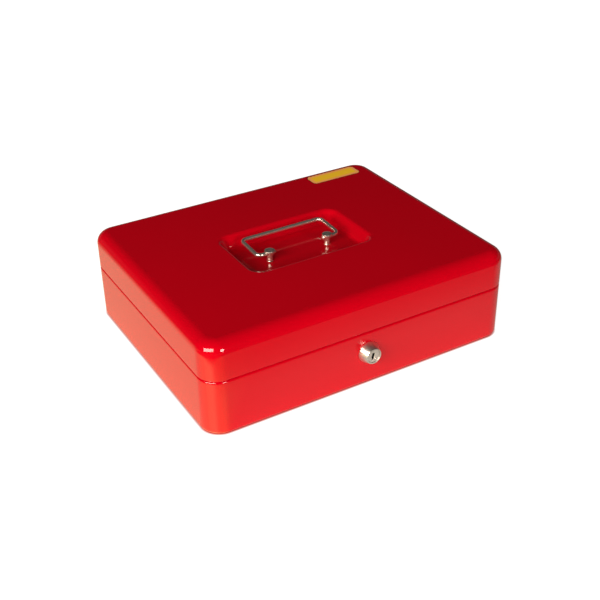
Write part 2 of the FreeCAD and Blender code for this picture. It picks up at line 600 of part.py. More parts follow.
# Ledges: steel angles on the side walls that carry the tray's flange.
for label, side in (("left", "-"), ("right", "")):
    ledge = new_body(f"tray_ledge_{label}")
    angle = new_sketch(ledge, "angle_outline", "XZ_Plane", f"-{LEDGE_LENGTH} / 2 - {TRAY_MIDDLE}")
    wall = f"{side}(box_width / 2 - sheet)"
    leg = f"{side}(box_width / 2 - sheet - strike_sheet)"
    edge = f"{side}(box_width / 2 - sheet - ledge_width)"
    add_polygon(angle, [
        (wall, "ledge_top"), (edge, "ledge_top"), (edge, "ledge_top - strike_sheet"),
        (leg, "ledge_top - strike_sheet"), (leg, "ledge_top - ledge_drop"),
        (wall, "ledge_top - ledge_drop")])
    extrude("Pad", angle, "angle_strip", LEDGE_LENGTH)

# Coin tray: one moulding with scooped cups in front and flat bays behind.
tray = new_body("coin_tray", "0", TRAY_MIDDLE, "ledge_top + body_gap")
outline = new_sketch(tray, "flange_outline", "XY_Plane")
add_rounded(outline, TRAY_WIDTH, TRAY_DEPTH, "tray_corner")
extrude("Pad", outline, "flange", "tray_flange")
outline = new_sketch(tray, "tub_outline", "XY_Plane")
add_rounded(outline, TUB_WIDTH, TUB_LENGTH, "tray_corner - flange_width")
extrude("Pad", outline, "tub", "tub_depth", back=True, taper="-tub_taper")


def cells(name, count, low, high):
    """A row of equal open cells across the tub."""
    row = new_sketch(tray, f"{name}_outlines", "XY_Plane", "tray_flange")
    inner = f"({TUB_WIDTH} - 3 * tub_wall)"
    pitch = f"(({inner} + tub_wall) / {count})"
    for i in range(int(number(count))):
        start = f"{i} * {pitch} - {inner} / 2"
        add_box(row, start, f"{start} + {pitch} - tub_wall", low, high)
    return extrude("Pocket", row, f"{name}_pockets", "tub_depth - tub_wall + tray_flange")


CELL_FRONT = f"(1.5 * tub_wall - {TUB_LENGTH} / 2)"
CELL_MIDDLE = f"({CELL_FRONT} + cup_length)"
CELL_FLOOR = number("tub_wall - tub_depth")
cups = cells("cup", "cup_count", CELL_FRONT, CELL_MIDDLE)


def on_scoop(spot):
    """True on the front and rear floor edge of a cup."""
    ends = (number(CELL_FRONT), number(CELL_MIDDLE))
    return level(CELL_FLOOR)(spot) and min(abs(spot.y - end) for end in ends) < 1e-4


fillet(cups, "cup_scoops", edges_where(cups.Shape, on_scoop), "cup_scoop")
bays = cells("bay", "bay_count", f"{CELL_MIDDLE} + tub_wall", f"{TUB_LENGTH} / 2 - 1.5 * tub_wall")
rear = number(CELL_MIDDLE)
corners = [name for name in upright(bays.Shape, CELL_FLOOR, number("tray_flange"))
           if bays.Shape.getElement(name).CenterOfMass.y > rear]
fillet(bays, "bay_corners", corners, "bay_corner")
grips = new_sketch(tray, "finger_notches", "XY_Plane", "2 * tray_flange")
for side in ("", "-"):
    add_circle(grips, f"{side}({TRAY_WIDTH} / 2 + grip_radius / 2)", "0", "grip_radius")
extrude("Pocket", grips, "finger_openings", "3 * tray_flange")

doc.recompute()
os.makedirs("parts", exist_ok=True)
bodies = [item for item in doc.Objects if item.TypeId == "PartDesign::Body"]
for item in doc.Objects:
    if {"Invalid", "Error"} & set(item.State):
        raise ValueError(f"{item.Label} did not compute: {item.State}")
for body in bodies:
    if body.Shape.isNull() or not body.Shape.isValid():
        raise ValueError(f"{body.Label} has no valid shape")
    body.Shape.exportStep(f"parts/{body.Label}.step")
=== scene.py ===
"""Looks of a steel cash box: drawn red lid and base, wire handle in a sunk pan, cam lock, coin tray."""

from math import acos, cos, degrees, pi, radians, sin, tan

import bmesh
import bpy
from mathutils import Matrix, Vector


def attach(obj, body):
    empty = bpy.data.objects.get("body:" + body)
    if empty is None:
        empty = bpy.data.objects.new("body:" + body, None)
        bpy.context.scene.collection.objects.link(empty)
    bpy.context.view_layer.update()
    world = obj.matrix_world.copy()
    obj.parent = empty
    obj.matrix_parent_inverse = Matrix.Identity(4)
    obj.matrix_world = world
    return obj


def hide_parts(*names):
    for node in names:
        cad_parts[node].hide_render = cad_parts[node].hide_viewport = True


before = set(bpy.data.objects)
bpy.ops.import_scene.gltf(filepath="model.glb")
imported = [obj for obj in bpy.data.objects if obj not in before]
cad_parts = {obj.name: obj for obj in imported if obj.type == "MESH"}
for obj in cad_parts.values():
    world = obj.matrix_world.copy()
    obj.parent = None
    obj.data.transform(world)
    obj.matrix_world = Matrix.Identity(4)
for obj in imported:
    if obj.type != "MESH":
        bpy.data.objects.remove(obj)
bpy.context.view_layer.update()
MM = 0.001
WAVE_UNIT = pi / 10                 # length of one wave of the wave texture at scale 1
NOISE_RANGE = (0.3, 0.7)            # where nearly all values of the noise texture lie
RUN = ("From Min", "From Max", "To Min", "To Max")      # sockets of a value's run, from where to where
SIDES = (("left", -1), ("right", 1))
SQUARE = ((-1, -1), (1, -1), (1, 1), (-1, 1))
scene = bpy.context.scene


# Materials

def paint(code):
    """A colour written as sRGB hex, in linear light."""
    parts = [int(code[i:i + 2], 16) / 255 for i in (1, 3, 5)]
    return [p / 12.92 if p <= 0.04045 else ((p + 0.055) / 1.055) ** 2.4 for p in parts] + [1.0]


def add(tree, kind, sockets=None, **settings):
    """One node with its settings; each socket takes a value, an output or another node's first output."""
    made = tree.nodes.new(kind)
    for key, value in settings.items():
        setattr(made, key, value)
    for key, value in (sockets or {}).items():
        if isinstance(value, bpy.types.Node):
            value = value.outputs[0]
        if isinstance(value, bpy.types.NodeSocket):
            tree.links.new(value, made.inputs[key])
        else:
            made.inputs[key].default_value = value
    return made


def per_metre(size_mm):
    """A pattern's scale from the real size of one of its marks."""
    return 1000 / size_mm


def finish_material(name, light, dark, patch_mm, rough, grain_mm, depth_mm, lathe_at=None, **constants):
    """A surface whose colour and gloss drift in patches, with a fine relief from how it was made.

    The relief is a grain, or rings round an axis along Y where lathe_at gives the axis's place.
    """
    material = bpy.data.materials.new(name)
    material.use_nodes = True
    tree = material.node_tree
    surface = tree.nodes["Principled BSDF"]
    for key, value in constants.items():
        surface.inputs[key.replace("_", " ")].default_value = value
    place = add(tree, "ShaderNodeTexCoord").outputs["Object"]
    drift = add(tree, "ShaderNodeTexNoise", {"Vector": place, "Scale": per_metre(patch_mm), "Detail": 3.0})
    colour = add(tree, "ShaderNodeMix", {"Factor": drift, 6: paint(light), 7: paint(dark)}, data_type="RGBA")
    tree.links.new(colour.outputs[2], surface.inputs["Base Color"])
    if lathe_at:
        centred = add(tree, "ShaderNodeMapping", {"Vector": place, "Location": [-c * MM for c in lathe_at]})
        grain = add(tree, "ShaderNodeTexWave", {"Vector": centred, "Scale": WAVE_UNIT * per_metre(grain_mm)},
                    wave_type="RINGS", rings_direction="Y")
    else:
        grain = add(tree, "ShaderNodeTexNoise", {"Vector": place, "Scale": per_metre(grain_mm),
                                                 "Detail": 2.0})
    gloss = add(tree, "ShaderNodeMapRange", {"Value": drift, **dict(zip(RUN, NOISE_RANGE + rough))})
    tree.links.new(gloss.outputs["Result"], surface.inputs["Roughness"])
    relief = add(tree, "ShaderNodeBump", {"Height": grain.outputs["Fac"], "Strength": 1.0,
                                          "Distance": depth_mm * MM})
    tree.links.new(relief.outputs["Normal"], surface.inputs["Normal"])
    return material


# Baked powder coat: a hard gloss whose reflections are broken very slightly by orange peel about 2 mm wide.
red_coat = finish_material("gloss_red_powder_coat", "#B60014", "#B00012", patch_mm=55, rough=(0.05, 0.08),
                           grain_mm=2.0, depth_mm=0.0008, IOR=1.5)
# Bright plating on drawn wire and turned posts: dark and pale streaks along the wire, glints in its bends.
chrome = finish_material("bright_plated_steel", "#EADCD2", "#DED0C6", patch_mm=4, rough=(0.17, 0.23),
                         grain_mm=0.5, depth_mm=0.001, Metallic=0.9)
# Nickel on a die casting: a softer, slightly warm shine.
nickel = finish_material("satin_nickel_die_casting", "#F0EAE2", "#E6E0D8", patch_mm=3, rough=(0.29, 0.36),
                         grain_mm=0.4, depth_mm=0.0015, Metallic=0.97)
# The turned plug's face carries fine rings from the lathe, drawn 0.4 mm apart so that they show, and is
# duller than the bezel.
plug_nickel = finish_material("turned_nickel_plug", "#ECE4DE", "#DED6D0", patch_mm=2, rough=(0.3, 0.38),
                              grain_mm=0.4, depth_mm=0.006, lathe_at=(0, 0, 31.5), Metallic=0.9)
# Bright zinc plate: bluish grey, cloudy in patches of a few millimetres.
zinc = finish_material("zinc_plated_steel", "#BCC1C5", "#A4AAB0", patch_mm=6, rough=(0.3, 0.45),
                       grain_mm=0.6, depth_mm=0.004, Metallic=1.0)
# Stamped brass strip, dull yellow.
brass = finish_material("stamped_brass", "#CFAF6A", "#B99650", patch_mm=2, rough=(0.3, 0.42),
                        grain_mm=0.4, depth_mm=0.003, Metallic=1.0)
# Moulded black plastic with a spark-eroded grain under half a millimetre, drawn as 0.7 mm so that it shows.
black_plastic = finish_material("grained_black_abs", "#1B1C1E", "#141516", patch_mm=30, rough=(0.46, 0.58),
                                grain_mm=0.7, depth_mm=0.03, IOR=1.53)
# The inside of the key slot is unplated. Its near-black colour and weak reflection are painted shade for the
# deep, narrow slot.
slot_painted_shade = finish_material("painted_shade_slot_lining", "#060505", "#030302", patch_mm=1, rough=(0.5, 0.7),
                            grain_mm=0.3, depth_mm=0.004, Specular_IOR_Level=0.1)
# Printed polyester film: a yellow panel in an orange border, with a dark edge all round, all with a soft
# gloss.
FILM = dict(rough=(0.3, 0.38), grain_mm=0.8, depth_mm=0.001, IOR=1.5)
film_border = finish_material("printed_orange_film", "#FFAE60", "#FAA658", patch_mm=8, **FILM)
film_panel = finish_material("printed_yellow_film", "#FFCB1C", "#FAC318", patch_mm=8, **FILM)
film_edge = finish_material("dark_film_edge", "#2A1C12", "#20150D", patch_mm=5, **FILM)


# Mesh helpers

def new_mesh(name, points, faces):
    """A mesh from points in millimetres."""
    mesh = bpy.data.meshes.new(name)
    mesh.from_pydata([Vector(p) * MM for p in points], [], faces)
    return mesh


def smooth(mesh, angle=32):
    """Smooth shading, with edges kept sharp where the surface turns by more than an angle."""
    mesh.polygons.foreach_set("use_smooth", [True] * len(mesh.polygons))
    mesh.set_sharp_from_angle(angle=radians(angle))


def evaluated(carrier):
    """The plain mesh of an object with its modifiers applied."""
    bpy.context.view_layer.update()
    depsgraph = bpy.context.evaluated_depsgraph_get()
    return bpy.data.meshes.new_from_object(carrier.evaluated_get(depsgraph))


def worked(mesh, *modifiers):
    """The mesh after a list of modifiers, each (kind, settings)."""
    carrier = bpy.data.objects.new("work", mesh)
    scene.collection.objects.link(carrier)
    for kind, settings in modifiers:
        step = carrier.modifiers.new(kind.lower(), kind)
        for key, value in settings.items():
            setattr(step, key, value)
    result = evaluated(carrier)
    bpy.data.objects.remove(carrier)
    return result


def edge_round(width, angle=40, segments=2):
    """A modifier that breaks edges sharper than an angle."""
    return "BEVEL", dict(width=width * MM, limit_method="ANGLE", angle_limit=radians(angle),
                         segments=segments, harden_normals=False)


def piece(name, mesh, material, body, slot, *nodes):
    """A finished mesh as a piece that moves with a body and stands for CAD nodes."""
    mesh.name = name
    if material:
        mesh.materials.clear()
        mesh.materials.append(material)
    made = bpy.data.objects.new(name, mesh)
    scene.collection.objects.link(made)
    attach(made, body)
    if nodes:
        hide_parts(*nodes)
    return made


def circle(radius, steps):
    """Points round the Z axis."""
    angles = [2 * pi * i / steps for i in range(steps)]
    return [Vector((radius * cos(angle), radius * sin(angle), 0)) for angle in angles]


def bands(ring, rows):
    """Faces between rings of points that follow each other, for a number of rows of faces."""
    return [(low + i, low + (i + 1) % ring, low + ring + (i + 1) % ring, low + ring + i)
            for low in range(0, ring * rows, ring) for i in range(ring)]


def block(lo, hi):
    """Points and faces of a cutting block."""
    points = [(x, y, z) for z in (lo[2], hi[2]) for x, y in
              ((lo[0], lo[1]), (hi[0], lo[1]), (hi[0], hi[1]), (lo[0], hi[1]))]
    return points, [(3, 2, 1, 0), (4, 5, 6, 7), (0, 1, 5, 4), (1, 2, 6, 5), (2, 3, 7, 6), (3, 0, 4, 7)]


def rod(start, end, radius, steps=48):
    """Points and faces of a cutting rod between two points along one axis."""
    start, end = Vector(start), Vector(end)
    turn = (end - start).to_track_quat("Z", "Y").to_matrix()
    ring = [turn @ p for p in circle(radius, steps)]
    points = [start + p for p in ring] + [end + p for p in ring]
    ends = [tuple(reversed(range(steps))), tuple(range(steps, 2 * steps))]
    return points, ends + bands(steps, 1)


def cut(mesh, shapes, lining=None):
    """The mesh with shapes cut out of it, the cut faces in another finish where one is given."""
    points, faces = [], []
    for shape_points, shape_faces in shapes:
        faces += [tuple(i + len(points) for i in face) for face in shape_faces]
        points += shape_points
    tool = bpy.data.objects.new("cutter", new_mesh("cutter", points, faces))
    scene.collection.objects.link(tool)
    if lining:
        tool.data.materials.append(lining)
    result = worked(mesh, ("BOOLEAN", dict(operation="DIFFERENCE", solver="EXACT", object=tool,
                                           material_mode="TRANSFER" if lining else "INDEX")))
    bpy.data.objects.remove(tool)
    return result


# Drawn shells, in millimetres as in all that follows up to the studio

BOX = (150.0, 120.0, 18.0)          # half length, half depth, corner radius
PAN = (61.75, 37.75, 12.0)          # the handle pan's sharp outline at the top
SHEET = 0.8
SHEET_EDGE = 0.18                   # broken edge of the cut sheet
SUPPORT = 1.5                       # flat left beside each bend, so that flats stay flat under smooth shading
# Corners of a rounded rectangle: sign in X and Y, angle where the arc starts.
CORNERS = ((1, -1, -90), (1, 1, 0), (-1, 1, 90), (-1, -1, 180))
CORNER_STEPS, EDGE_STEPS, BEND_STEPS, SHOULDER_STEPS = 18, 14, 8, 6


def plan_loop(plan, inset, height):
    """One level of a drawn shape: a rounded rectangle, drawn in by an inset."""
    half_x, half_y, radius = plan
    centre_x, centre_y, bend_radius = half_x - radius, half_y - radius, radius - inset
    loop = []
    for sign_x, sign_y, start in CORNERS:
        arc = []
        for i in range(CORNER_STEPS + 1):
            angle = radians(start + 90 * i / CORNER_STEPS)
            arc.append(Vector((sign_x * centre_x + bend_radius * cos(angle),
                               sign_y * centre_y + bend_radius * sin(angle), height)))
        into, out = radians(start + 90), radians(start + 180)
        before = arc[0] - SUPPORT * Vector((cos(into), sin(into), 0))
        after = arc[-1] + SUPPORT * Vector((cos(out), sin(out), 0))
        loop += [before] + arc + [after]
    return loop


def drawn_shell(name, levels, first_is_floor=False, last_is_floor=False):
    """A drawn sheet from its levels (plan, inset, height), given its thickness inwards."""
    points = [p for level in levels for p in plan_loop(*level)]
    ring = len(points) // len(levels)
    faces = bands(ring, len(levels) - 1)
    if first_is_floor:
        faces.append(tuple(reversed(range(ring))))
    if last_is_floor:
        faces.append(tuple(range(len(points) - ring, len(points))))
    return worked(new_mesh(name, points, faces),
                  ("SOLIDIFY", dict(thickness=SHEET * MM, offset=-1, use_even_offset=True,
                                    use_quality_normals=True)),
                  edge_round(SHEET_EDGE, angle=50))


def bend(plan, inset, height, radius, start, end, steps):
    """Levels round a bend in the sheet's section, from its centre's inset and height; angles in degrees."""
    angles = [radians(start + (end - start) * i / steps) for i in range(steps + 1)]
    return [(plan, inset + radius * cos(angle), height + radius * sin(angle)) for angle in angles]


LID_TOP, SEAM, SHOULDER, RIM_TOP = 85.6, 51.8, 51.0, 60.8
LID_EDGE, PAN_DEPTH, PAN_TAPER, PAN_ROUND = 11.0, 11.0, 31.0, 4.0
SHOULDER_EDGE, RIM_INSET, BASE_EDGE = 2.0, 1.3, 3.0
PAN_FLOOR = LID_TOP - PAN_DEPTH
LIP, FLOOR_SUPPORT = 0.6, 1.2           # levels that keep the lid's lower edge and the pan floor straight
RIM_SUPPORT, RIM_STEP = 0.5, 1.0        # the same under the rim's edge and above the shoulder
HINGE_X, POST_X, POST_Y, WIRE_Z, LOCK_Z = 90.0, 30.0, -6.4, 82.7, 31.5
LID_NOTCH = (7.17, 50.0, 54.2)          # cutter for a hinge: half width, lower and upper end
BASE_NOTCH = (20.6, 48.6, 63.0)
THROUGH_WALL = (113.0, 126.0)           # a cutter's span through a wall, from the box's middle
THROUGH_FLOOR = (70.0, 78.0)            # and through the pan's floor
POST_HOLE, LOCK_HOLE = 2.05, 8.05       # radii


def notches(half, low, high):
    """Cutters for the two hinges in the rear wall."""
    near, far = THROUGH_WALL
    return [block((sign * HINGE_X - half, near, low), (sign * HINGE_X + half, far, high))
            for side, sign in SIDES]


turn_degrees = 90 - PAN_TAPER           # the pan wall's turn from level
half_turn = tan(radians(turn_degrees) / 2)
upper_inset = -PAN_ROUND * half_turn    # where the upper bend leaves the flat top
lower_inset = PAN_DEPTH * tan(radians(PAN_TAPER)) + PAN_ROUND * half_turn
lid_levels = [(BOX, 0, height) for height in (SEAM, SEAM + LIP, LID_NOTCH[2], LID_TOP - LID_EDGE - SUPPORT)]
lid_levels += bend(BOX, LID_EDGE, LID_TOP - LID_EDGE, LID_EDGE, 180, 90, EDGE_STEPS)
lid_levels += [(BOX, LID_EDGE + SUPPORT, LID_TOP), (PAN, upper_inset - SUPPORT, LID_TOP)]
lid_levels += bend(PAN, upper_inset, LID_TOP - PAN_ROUND, PAN_ROUND, 90, 90 - turn_degrees, BEND_STEPS)
lid_levels += bend(PAN, lower_inset, PAN_FLOOR + PAN_ROUND, PAN_ROUND, 270 - turn_degrees, 270, BEND_STEPS)
lid_levels += [(PAN, lower_inset + FLOOR_SUPPORT, PAN_FLOOR)]
lid_mesh = drawn_shell("lid", lid_levels, last_is_floor=True)
below, above = THROUGH_FLOOR
post_holes = [rod((sign * POST_X, POST_Y, below), (sign * POST_X, POST_Y, above), POST_HOLE, steps=32)
              for side, sign in SIDES]
lid_mesh = cut(lid_mesh, notches(*LID_NOTCH) + post_holes)
smooth(lid_mesh)
piece("lid_drawn", lid_mesh, red_coat, "lid", "red_coat", "lid_shell")

# The shoulder's bend meets the rim before it is level.
step_turn = degrees(acos((SHOULDER_EDGE - RIM_INSET) / SHOULDER_EDGE))
base_levels = [(BOX, BASE_EDGE + SUPPORT, 0)]
base_levels += bend(BOX, BASE_EDGE, BASE_EDGE, BASE_EDGE, 270, 180, BEND_STEPS)
base_levels += [(BOX, 0, BASE_EDGE + SUPPORT), (BOX, 0, SHOULDER - SHOULDER_EDGE - SUPPORT)]
base_levels += bend(BOX, SHOULDER_EDGE, SHOULDER - SHOULDER_EDGE, SHOULDER_EDGE, 180, 180 - step_turn,
                    SHOULDER_STEPS)
base_levels += [(BOX, RIM_INSET, height) for height in (SHOULDER + RIM_STEP, RIM_TOP - RIM_SUPPORT, RIM_TOP)]
base_mesh = drawn_shell("base", base_levels, first_is_floor=True)
lock_hole = rod((0, -THROUGH_WALL[1], LOCK_Z), (0, -THROUGH_WALL[0], LOCK_Z), LOCK_HOLE)
base_mesh = cut(base_mesh, notches(*BASE_NOTCH) + [lock_hole])
smooth(base_mesh)
piece("base_drawn", base_mesh, red_coat, "base", "red_coat", "base_shell")


# Turned handle posts

def turned(name, profile, place, steps=96):
    """A closed section (radius, distance along the axis) turned round an axis that place puts in the box."""
    points, faces = [], []
    for radius, along in profile:
        points += [place @ (spot + Vector((0, 0, along))) for spot in circle(radius, steps)]
    count = len(profile)
    for row in range(count):
        after = (row + 1) % count
        if profile[row][0] == 0 and profile[after][0] == 0:
            continue
        for i in range(steps):
            j = (i + 1) % steps
            faces.append((row * steps + i, after * steps + i, after * steps + j, row * steps + j))
    form = bmesh.new()
    form.from_mesh(new_mesh(name, points, faces))
    bmesh.ops.remove_doubles(form, verts=form.verts, dist=1e-7)
    bmesh.ops.recalc_face_normals(form, faces=form.faces)
    mesh = bpy.data.meshes.new(name)
    form.to_mesh(mesh)
    form.free()
    return mesh


# Radius and height above the pan floor.
post_section = [(0, -2.6), (3.15, -2.6), (3.4, -2.35), (3.4, -1.85), (3.2, -1.6), (2, -1.6)]  # upset tail
post_section += [(2, 0), (2.9, 0), (2.85, 0.25), (2.6, 0.5), (2.5, 0.8)]        # flared foot
post_section += [(2.5, 5.6), (2.62, 5.9), (4.4, 8.9), (4.63, 9.2)]              # shaft and flare
post_section += [(4.7, 9.5), (4.7, 10.4), (4.6, 10.66), (4.3, 10.8)]            # rounded head
post_section += [(0.9, 10.8), (0.5, 10.6), (0, 10.6)]                           # mark of the lathe
WIRE_HOLE, HOLE_REACH = 1.85, 8.0
for side, sign in SIDES:
    post_mesh = turned("post", post_section, Matrix.Translation((sign * POST_X, POST_Y, PAN_FLOOR)), steps=64)
    post_mesh = cut(post_mesh, [rod((sign * POST_X - HOLE_REACH, POST_Y, WIRE_Z),
                                    (sign * POST_X + HOLE_REACH, POST_Y, WIRE_Z), WIRE_HOLE, steps=32)])
    smooth(post_mesh, angle=28)
    piece(f"post_{side}", post_mesh, chrome, "lid", "chrome", f"handle_post_{side}")


# Pieces with the frame's own shape and worked edges

def refined(node, name, material, body, slot, edge):
    """A frame node's own shape with its facets joined, its sharp edges broken and its curves smooth."""
    form = bmesh.new()
    form.from_mesh(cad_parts[node].data)
    bmesh.ops.remove_doubles(form, verts=form.verts, dist=1e-6)
    bmesh.ops.dissolve_limit(form, angle_limit=radians(0.5), verts=form.verts, edges=form.edges)
    mesh = bpy.data.meshes.new(name)
    form.to_mesh(mesh)
    form.free()
    mesh = worked(mesh, edge_round(edge))
    smooth(mesh, angle=30)
    return piece(name, mesh, material, body, slot, node)


for side, sign in SIDES:
    refined(f"post_washer_{side}", f"pan_washer_{side}", zinc, "lid", "zinc", edge=0.12)
    refined(f"hinge_leaf_base_{side}", f"base_leaf_{side}", red_coat, "base", "red_coat", edge=0.2)
    refined(f"hinge_leaf_lid_{side}", f"lid_leaf_{side}", red_coat, "lid", "red_coat", edge=0.2)
    refined(f"hinge_pin_{side}", f"hinge_rod_{side}", zinc, "base", "zinc", edge=0.25)
    refined(f"tray_ledge_{side}", f"ledge_{side}", red_coat, "base", "red_coat", edge=0.3)
refined("lock_washer", "bezel_washer", zinc, "base", "zinc", edge=0.15)
refined("lock_nut", "bezel_nut", zinc, "base", "zinc", edge=0.3)
refined("lock_wafers", "wafers", brass, "lock_core", "brass", edge=0.06)
refined("lock_cam", "cam_hook", zinc, "lock_core", "zinc", edge=0.25)
refined("cam_screw", "cam_fixing", zinc, "lock_core", "zinc", edge=0.1)
refined("lid_strike", "strike", zinc, "lid", "zinc", edge=0.3)
refined("coin_tray", "tray", black_plastic, "tray", "black_plastic", edge=0.45)


# Turned lock head

WALL_Y = -120.0
FRONT_TO_REAR = Matrix(((1, 0, 0), (0, 0, 1), (0, 1, 0))).to_4x4()      # turns the axis from Z to Y
LOCK_PLACE = Matrix.Translation((0, WALL_Y, LOCK_Z)) @ FRONT_TO_REAR
BARREL_END, THREAD_CREST, THREAD_ROOT, THREAD_TURNS = 17.0, 8.0, 7.45, 15
FIRST_CREST, FIRST_ROOT = 1.7, 2.2      # behind the wall's outside, with turns 1 mm apart
FLAT_MIDDLE, FLAT_HALF = 9.0, 2.4       # cutters for the barrel's flats, across
FLAT_SPAN, FLAT_HEIGHT = (-114.9, -100.0), (20.0, 43.0)


def slab(outline, front, behind, last=None):
    """Points and faces of an outline (across, up) round the lock's axis, run from front to behind."""
    count = len(outline)
    points = [(x, WALL_Y + front, LOCK_Z + z) for x, z in outline]
    points += [(x, WALL_Y + behind, LOCK_Z + z) for x, z in last or outline]
    faces = [tuple(range(count)), tuple(reversed(range(count, 2 * count)))]
    return points, faces + [(i, count + i, count + (i + 1) % count, (i + 1) % count) for i in range(count)]


# Radius and distance behind the wall's outside.
bezel_section = [(5.05, BARREL_END), (5.05, -6), (5.95, -6), (5.95, -8.8)]      # bore and the plug's seat
bezel_section += [(6.15, -9), (6.75, -9), (7.05, -8.93), (7.25, -8.7)]          # rounded front rim
bezel_section += [(9.75, -1.25), (9.8, -1.0), (9.8, -0.2), (9.6, 0), (8, 0)]    # cone and its foot
for turn in range(THREAD_TURNS):
    bezel_section += [(THREAD_CREST, FIRST_CREST + turn), (THREAD_ROOT, FIRST_ROOT + turn)]
bezel_mesh = turned("bezel", bezel_section + [(THREAD_ROOT, BARREL_END)], LOCK_PLACE)
bezel_mesh = cut(bezel_mesh, [block((sign * FLAT_MIDDLE - FLAT_HALF, FLAT_SPAN[0], FLAT_HEIGHT[0]),
                                    (sign * FLAT_MIDDLE + FLAT_HALF, FLAT_SPAN[1], FLAT_HEIGHT[1]))
                              for side, sign in SIDES])
smooth(bezel_mesh, angle=28)
piece("lock_bezel", bezel_mesh, nickel, "base", "nickel", "lock_body")

PLUG_FACE, PLUG_SEAT, PLUG_RADIUS, PLUG_HEAD, PLUG_EDGE = -8.4, -6.05, 5.0, 5.9, 0.3
TAIL_HALF, TAIL_END = 3.0, 19.3
SLOT_HALF, SLOT_SPAN = 1.1, (-12.0, 7.0)        # half width, and the cutter's front and rear
CHAMFER_HALF, CHAMFER_LONGER, CHAMFER_DEPTH, CHAMFER_LEAD = 2.2, 0.5, 1.05, 0.05
KEY_SLOT = [(-2.9, 0.0), (-1.3, -0.35), (0.0, -0.1), (1.2, 0.35), (2.9, 0.4)]     # height, shift sideways


def slot_outline(half, longer=0.0):
    """The key slot's bent outline, made wider and longer for its chamfer."""
    end = KEY_SLOT[-1][0]
    path = [(up + (longer if up == end else -longer if up == -end else 0), shift) for up, shift in KEY_SLOT]
    return [(shift - half, up) for up, shift in reversed(path)] + [(shift + half, up) for up, shift in path]


plug_section = [(0, PLUG_FACE), (PLUG_HEAD - PLUG_EDGE, PLUG_FACE), (PLUG_HEAD, PLUG_FACE + PLUG_EDGE)]
plug_section += [(PLUG_HEAD, PLUG_SEAT), (PLUG_RADIUS, PLUG_SEAT), (PLUG_RADIUS, BARREL_END), (0, BARREL_END)]
plug_mesh = turned("plug", plug_section, LOCK_PLACE)
plug_mesh.materials.append(plug_nickel)
chamfer = slab(slot_outline(CHAMFER_HALF, CHAMFER_LONGER), PLUG_FACE - CHAMFER_LEAD,
               PLUG_FACE + CHAMFER_DEPTH, slot_outline(SLOT_HALF))
plug_mesh = cut(plug_mesh, [chamfer])
# The key slot's cut walls are lined with near-black painted shade.
plug_mesh = cut(plug_mesh, [slab(slot_outline(SLOT_HALF), *SLOT_SPAN)], slot_painted_shade)
tail_outline = [(across * TAIL_HALF, up * TAIL_HALF) for across, up in SQUARE]
tail_points, tail_faces = slab(tail_outline, BARREL_END, TAIL_END)
tail = bmesh.new()
tail.from_mesh(plug_mesh)
spots = [tail.verts.new(Vector(p) * MM) for p in tail_points]
for face in tail_faces:
    tail.faces.new([spots[i] for i in face])
tail.to_mesh(plug_mesh)
tail.free()
smooth(plug_mesh, angle=28)
piece("plug", plug_mesh, None, "lock_core", "nickel_plug", "lock_plug")


# Handle wire

def node_tree(name, inputs):
    """An empty node tree for a mesh, with named inputs (name, socket kind, value)."""
    tree = bpy.data.node_groups.new(name, "GeometryNodeTree")
    tree.interface.new_socket("Geometry", in_out="INPUT", socket_type="NodeSocketGeometry")
    tree.interface.new_socket("Geometry", in_out="OUTPUT", socket_type="NodeSocketGeometry")
    for label, kind, value in inputs:
        socket = tree.interface.new_socket(label, in_out="INPUT", socket_type=kind)
        if value is not None:
            socket.default_value = value
    return tree, add(tree, "NodeGroupInput").outputs


def made_by(tree, seed, values):
    """The plain mesh that a tree makes from a seed object, its inputs set by identifier."""
    scene.collection.objects.link(seed)
    step = seed.modifiers.new("tree", "NODES")
    step.node_group = tree
    for item in tree.interface.items_tree:
        if item.in_out == "INPUT" and item.name in values:
            step[item.identifier] = values[item.name]
    mesh = evaluated(seed)
    seed.modifiers.remove(step)
    bpy.data.objects.remove(seed)
    return mesh


wire_tree, given = node_tree("bent_wire", [("Wire radius", "NodeSocketFloat", 0.001),
                                           ("Bend radius", "NodeSocketFloat", 0.001),
                                           ("Finish", "NodeSocketMaterial", None)])
bent = add(wire_tree, "GeometryNodeFilletCurve",
           {"Curve": given["Geometry"], "Count": 14, "Radius": given["Bend radius"]}, mode="POLY")
section = add(wire_tree, "GeometryNodeCurvePrimitiveCircle",
              {"Resolution": 28, "Radius": given["Wire radius"]})
swept = add(wire_tree, "GeometryNodeCurveToMesh",
            {"Curve": bent, "Profile Curve": section, "Fill Caps": True})
whole = add(wire_tree, "GeometryNodeRealizeInstances", {"Geometry": swept})
dressed = add(wire_tree, "GeometryNodeSetMaterial", {"Geometry": whole, "Material": given["Finish"]})
add(wire_tree, "NodeGroupOutput", {"Geometry": dressed})

BAIL_HALF, BAIL_REACH, BAIL_END, BAIL_TILT = 42.0, 31.5, 24.5, 3.1
WIRE_RADIUS, WIRE_BEND, WIRE_END_EDGE = 1.75, 5.0, 0.35
bar_y = POST_Y + BAIL_REACH * cos(radians(BAIL_TILT))
bar_z = WIRE_Z + BAIL_REACH * sin(radians(BAIL_TILT))
route = bpy.data.curves.new("bail_route", "CURVE")
route.dimensions = "3D"
line = route.splines.new("POLY")
corners = [(-BAIL_END, POST_Y, WIRE_Z), (-BAIL_HALF, POST_Y, WIRE_Z), (-BAIL_HALF, bar_y, bar_z),
           (BAIL_HALF, bar_y, bar_z), (BAIL_HALF, POST_Y, WIRE_Z), (BAIL_END, POST_Y, WIRE_Z)]
line.points.add(len(corners) - 1)
for point, corner in zip(line.points, corners):
    point.co = (*(Vector(corner) * MM), 1)
bail_mesh = made_by(wire_tree, bpy.data.objects.new("bail_route", route),
                    {"Wire radius": WIRE_RADIUS * MM, "Bend radius": WIRE_BEND * MM, "Finish": chrome})
bail_mesh = worked(bail_mesh, edge_round(WIRE_END_EDGE, angle=60))
smooth(bail_mesh, angle=40)
piece("bail", bail_mesh, chrome, "handle", "chrome", "handle_bail")


